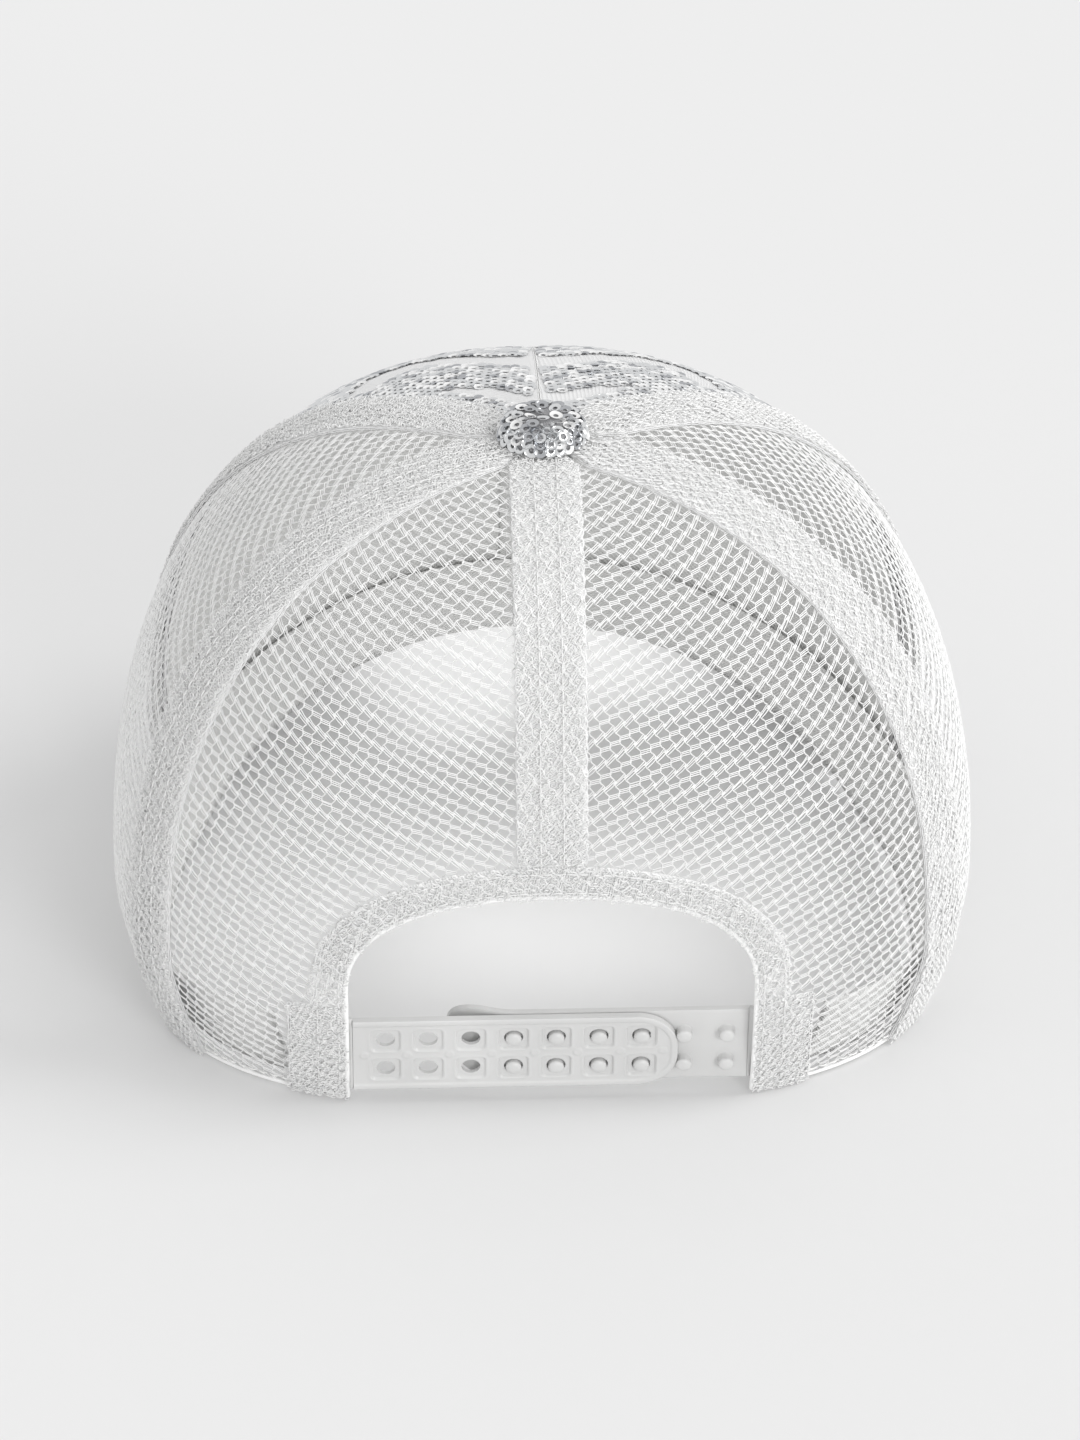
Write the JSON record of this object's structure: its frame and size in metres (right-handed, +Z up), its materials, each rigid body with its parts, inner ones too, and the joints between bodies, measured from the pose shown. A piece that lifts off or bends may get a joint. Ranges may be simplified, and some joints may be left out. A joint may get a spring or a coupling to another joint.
{
  "type": "mesh-back snap cap",
  "caption": "White mesh-back cap with a sequinned front and button, net sides and back, a curved visor and a snap strap across the rear arch.",
  "frame": {"origin": "on the floor under the middle of the whole cap, visor included", "axes": "+Z up, -Y towards the tip of the visor, +Y towards the snap strap, +X towards the wearer's left"},
  "size_m": [0.1902, 0.2578, 0.144],
  "materials": {
    "sequin": "silver ring sequins on white satin",
    "lining": "stiff white buckram",
    "net": "white warp-knit filament net, slightly glossy",
    "double_net": "the same net doubled and stitched",
    "twill": "white cotton twill",
    "board": "moulded visor board",
    "plastic": "white semi-gloss moulded plastic",
    "metal": "pressed aluminium"
  },
  "bodies": {
    "crown": {"front_panel_left": "sequin", "front_lining_left": "lining", "side_mesh_left": "net", "back_mesh_left": "net", "front_side_band_left": "double_net", "side_back_band_left": "double_net", "rear_tab_left": "double_net", "front_panel_right": "sequin", "front_lining_right": "lining", "side_mesh_right": "net", "back_mesh_right": "net", "front_side_band_right": "double_net", "side_back_band_right": "double_net", "rear_tab_right": "double_net", "centre_back_band": "double_net", "centre_front_tape": "twill", "arch_binding": "double_net", "sweatband": "twill", "visor_board": "board", "visor_top_cover": "twill", "visor_under_cover": "twill", "button_cover": "sequin", "button_shell": "metal", "button_back_cap": "metal", "strap_female_sewn_end": "plastic", "strap_male_sewn_end": "plastic"},
    "outer_strap": {"strap_female": "plastic"},
    "inner_strap": {"strap_male": "plastic"}
  },
  "joints": [
    {"name": "outer_strap_swing", "type": "hinge", "parent": "crown", "child": "outer_strap", "pos_m": [0.0426, 0.11778, 0.01474], "axis": [0, -0.2164, -0.9763], "range_deg": [0, 55], "stiffness_Nm_per_rad": 0.004},
    {"name": "inner_strap_swing", "type": "hinge", "parent": "crown", "child": "inner_strap", "pos_m": [-0.0426, 0.11621, 0.01509], "axis": [0, -0.2164, -0.9763], "range_deg": [0, 45], "stiffness_Nm_per_rad": 0.004}
  ]
}
